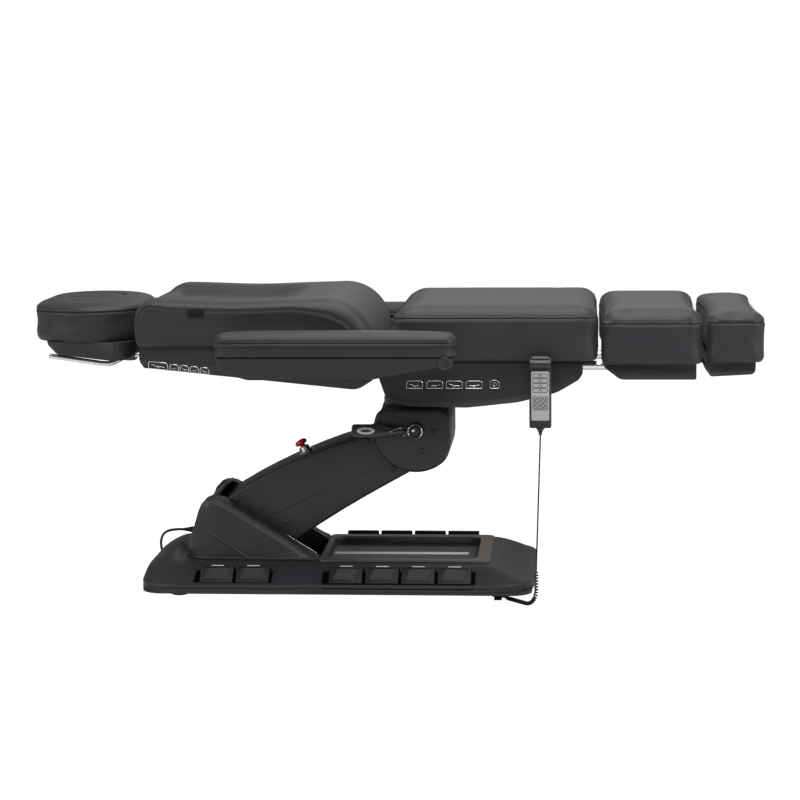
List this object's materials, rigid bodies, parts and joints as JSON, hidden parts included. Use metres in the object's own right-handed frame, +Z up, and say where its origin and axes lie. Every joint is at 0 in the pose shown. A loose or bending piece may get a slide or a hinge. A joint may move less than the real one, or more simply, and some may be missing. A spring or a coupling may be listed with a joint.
{
  "type": "spa treatment chair",
  "caption": "Electric treatment chair: padded headrest, back, seat, leg and foot sections on a tilting head, carried by a lift arm on a floor base with pedals, armrests and a corded handset",
  "frame": {"origin": "floor, under the middle of the flat bed's length and width", "axes": "+X to the foot end, +Y to the far side, +Z up"},
  "size_m": [1.914, 0.898, 0.7993],
  "materials": {
    "upholstery": "coated leatherette, soft sheen",
    "shell_plastic": "moulded, fine grain",
    "base_plastic": "moulded, fine grain",
    "dark_steel": "powder coat",
    "chrome_steel": "polished",
    "stop_red": "gloss",
    "pedal_plastic": "ribbed, matt",
    "trim_bronze": "brushed",
    "handset_plastic": "fine grain",
    "cord_rubber": "satin",
    "motor_paint": "satin",
    "foot_rubber": "matt"
  },
  "bodies": {
    "base": {"base_cover": "base_plastic", "base_frame": "dark_steel", "floor_feet": "foot_rubber", "deck_tray": "trim_bronze", "column_cover": "base_plastic", "lift_motor": "motor_paint", "cord_glands": "cord_rubber", "mains_cord": "cord_rubber", "mains_coil": "cord_rubber", "mains_plug": "cord_rubber", "handset_curl": "cord_rubber"},
    "lift_arm": {"lift_arm": "dark_steel", "arm_cover": "base_plastic", "arm_screws": "chrome_steel", "stop_collar": "handset_plastic"},
    "levelling_link": {"levelling_link": "dark_steel"},
    "stop_button": {"stop_button": "stop_red"},
    "head": {"head_housing": "base_plastic", "housing_screws": "chrome_steel"},
    "swivel_lever": {"swivel_lever": "handset_plastic"},
    "turntable": {"turntable": "dark_steel", "tilt_motor": "motor_paint"},
    "seat": {"seat_frame": "dark_steel", "seat_cushion": "upholstery", "seat_shell": "shell_plastic", "gear_motors": "motor_paint", "handset_hook": "dark_steel"},
    "back": {"back_frame": "dark_steel", "back_cushion": "upholstery", "back_shell": "shell_plastic"},
    "armrests": {"far_armrest_shell": "shell_plastic", "near_armrest_shell": "shell_plastic", "far_armrest_pad": "upholstery", "near_armrest_pad": "upholstery"},
    "armrest_links": {"armrest_links": "dark_steel"},
    "headrest": {"headrest_rails": "chrome_steel", "headrest_shell": "shell_plastic", "headrest_cushion": "upholstery"},
    "face_plug": {"face_plug": "upholstery"},
    "headrest_knob": {"headrest_knob": "handset_plastic"},
    "leg": {"leg_rails": "chrome_steel"},
    "leg_slide": {"leg_shell": "shell_plastic", "leg_cushion": "upholstery"},
    "leg_knob": {"leg_knob": "handset_plastic"},
    "foot": {"foot_shell": "shell_plastic", "foot_cushion": "upholstery"},
    "handset": {"handset_case": "handset_plastic", "handset_cord": "cord_rubber"},
    "near_pedal_1": {"near_pedal_1": "pedal_plastic"},
    "near_pedal_2": {"near_pedal_2": "pedal_plastic"},
    "near_pedal_3": {"near_pedal_3": "pedal_plastic"},
    "near_pedal_4": {"near_pedal_4": "pedal_plastic"},
    "near_pedal_5": {"near_pedal_5": "pedal_plastic"},
    "near_pedal_6": {"near_pedal_6": "pedal_plastic"},
    "far_pedal_1": {"far_pedal_1": "pedal_plastic"},
    "far_pedal_2": {"far_pedal_2": "pedal_plastic"},
    "far_pedal_3": {"far_pedal_3": "pedal_plastic"},
    "far_pedal_4": {"far_pedal_4": "pedal_plastic"},
    "far_pedal_5": {"far_pedal_5": "pedal_plastic"},
    "far_pedal_6": {"far_pedal_6": "pedal_plastic"}
  },
  "joints": [
    {"name": "lift_raise", "type": "hinge", "parent": "base", "child": "lift_arm", "pos_m": [-0.428, 0, 0.15], "axis": [0, -1, 0], "range_deg": [-17, 18], "deforming": ["handset_cord"]},
    {"name": "head_level", "type": "hinge", "parent": "lift_arm", "child": "head", "pos_m": [0.05636, 0, 0.43304], "axis": [0, -1, 0], "range_deg": [-18, 17]},
    {"name": "link_swing", "type": "hinge", "parent": "base", "child": "levelling_link", "pos_m": [-0.4109, 0, 0.10301], "axis": [0, -1, 0], "range_deg": [-17, 18]},
    {"name": "stop_press", "type": "slide", "parent": "lift_arm", "child": "stop_button", "axis": [0.5045, 0, -0.8634], "range_m": [0, 0.005], "stiffness_N_per_m": 1500},
    {"name": "lever_turn", "type": "hinge", "parent": "head", "child": "swivel_lever", "pos_m": [0.05636, -0.138, 0.43304], "axis": [0, -1, 0], "range_deg": [0, 35]},
    {"name": "swivel_turn", "type": "hinge", "parent": "head", "child": "turntable", "pos_m": [0.05636, 0, 0.5], "axis": [0, 0, 1], "range_deg": [-120, 120], "deforming": ["handset_cord"]},
    {"name": "bed_tilt", "type": "hinge", "parent": "turntable", "child": "seat", "pos_m": [0.108, 0, 0.612], "axis": [0, -1, 0], "range_deg": [0, 20], "deforming": ["handset_cord"]},
    {"name": "back_recline", "type": "hinge", "parent": "seat", "child": "back", "pos_m": [-0.16, 0, 0.674], "axis": [0, -1, 0], "range_deg": [-75, 0]},
    {"name": "armrest_level", "type": "hinge", "parent": "back", "child": "armrests", "pos_m": [-0.36, 0, 0.645], "axis": [0, -1, 0], "range_deg": [0, 75]},
    {"name": "armrest_link_swing", "type": "hinge", "parent": "seat", "child": "armrest_links", "pos_m": [-0.12, 0, 0.646], "axis": [0, -1, 0], "range_deg": [-75, 0]},
    {"name": "headrest_slide", "type": "slide", "parent": "back", "child": "headrest", "axis": [-1, 0, 0], "range_m": [0, 0.12]},
    {"name": "face_plug_lift", "type": "slide", "parent": "headrest", "child": "face_plug", "axis": [0, 0, 1], "range_m": [0, 0.13]},
    {"name": "headrest_knob_turn", "type": "hinge", "parent": "headrest", "child": "headrest_knob", "pos_m": [-0.725, 0, 0.615], "axis": [0, 0, 1], "range_deg": [0, 180]},
    {"name": "leg_fold", "type": "hinge", "parent": "seat", "child": "leg", "pos_m": [0.457, 0, 0.606], "axis": [0, 1, 0], "range_deg": [0, 80]},
    {"name": "leg_extend", "type": "slide", "parent": "leg", "child": "leg_slide", "axis": [1, 0, 0], "range_m": [0, 0.13]},
    {"name": "leg_knob_turn", "type": "hinge", "parent": "leg_slide", "child": "leg_knob", "pos_m": [0.606, -0.12, 0.58], "axis": [0, 0, 1], "range_deg": [0, 90]},
    {"name": "foot_tilt", "type": "hinge", "parent": "leg_slide", "child": "foot", "pos_m": [0.796, 0, 0.62], "axis": [0, 1, 0], "range_deg": [0, 40]},
    {"name": "handset_lift", "type": "slide", "parent": "seat", "child": "handset", "axis": [0, 0, 1], "range_m": [0, 0.15]},
    {"name": "near_pedal_1_press", "type": "hinge", "parent": "base", "child": "near_pedal_1", "pos_m": [0, -0.214, 0.074], "axis": [1, 0, 0], "range_deg": [0, 6], "stiffness_Nm_per_rad": 20},
    {"name": "near_pedal_2_press", "type": "hinge", "parent": "base", "child": "near_pedal_2", "pos_m": [0, -0.214, 0.074], "axis": [1, 0, 0], "range_deg": [0, 6], "stiffness_Nm_per_rad": 20},
    {"name": "near_pedal_3_press", "type": "hinge", "parent": "base", "child": "near_pedal_3", "pos_m": [0, -0.214, 0.074], "axis": [1, 0, 0], "range_deg": [0, 6], "stiffness_Nm_per_rad": 20},
    {"name": "near_pedal_4_press", "type": "hinge", "parent": "base", "child": "near_pedal_4", "pos_m": [0, -0.214, 0.074], "axis": [1, 0, 0], "range_deg": [0, 6], "stiffness_Nm_per_rad": 20},
    {"name": "near_pedal_5_press", "type": "hinge", "parent": "base", "child": "near_pedal_5", "pos_m": [0, -0.214, 0.074], "axis": [1, 0, 0], "range_deg": [0, 6], "stiffness_Nm_per_rad": 20},
    {"name": "near_pedal_6_press", "type": "hinge", "parent": "base", "child": "near_pedal_6", "pos_m": [0, -0.214, 0.074], "axis": [1, 0, 0], "range_deg": [0, 6], "stiffness_Nm_per_rad": 20},
    {"name": "far_pedal_1_press", "type": "hinge", "parent": "base", "child": "far_pedal_1", "pos_m": [0, 0.214, 0.074], "axis": [-1, 0, 0], "range_deg": [0, 6], "stiffness_Nm_per_rad": 20},
    {"name": "far_pedal_2_press", "type": "hinge", "parent": "base", "child": "far_pedal_2", "pos_m": [0, 0.214, 0.074], "axis": [-1, 0, 0], "range_deg": [0, 6], "stiffness_Nm_per_rad": 20},
    {"name": "far_pedal_3_press", "type": "hinge", "parent": "base", "child": "far_pedal_3", "pos_m": [0, 0.214, 0.074], "axis": [-1, 0, 0], "range_deg": [0, 6], "stiffness_Nm_per_rad": 20},
    {"name": "far_pedal_4_press", "type": "hinge", "parent": "base", "child": "far_pedal_4", "pos_m": [0, 0.214, 0.074], "axis": [-1, 0, 0], "range_deg": [0, 6], "stiffness_Nm_per_rad": 20},
    {"name": "far_pedal_5_press", "type": "hinge", "parent": "base", "child": "far_pedal_5", "pos_m": [0, 0.214, 0.074], "axis": [-1, 0, 0], "range_deg": [0, 6], "stiffness_Nm_per_rad": 20},
    {"name": "far_pedal_6_press", "type": "hinge", "parent": "base", "child": "far_pedal_6", "pos_m": [0, 0.214, 0.074], "axis": [-1, 0, 0], "range_deg": [0, 6], "stiffness_Nm_per_rad": 20}
  ],
  "couplings": [
    {"joint": "head_level", "follows": "lift_raise", "ratio": -1},
    {"joint": "link_swing", "follows": "lift_raise", "ratio": 1},
    {"joint": "armrest_level", "follows": "back_recline", "ratio": -1},
    {"joint": "armrest_link_swing", "follows": "back_recline", "ratio": 1}
  ]
}
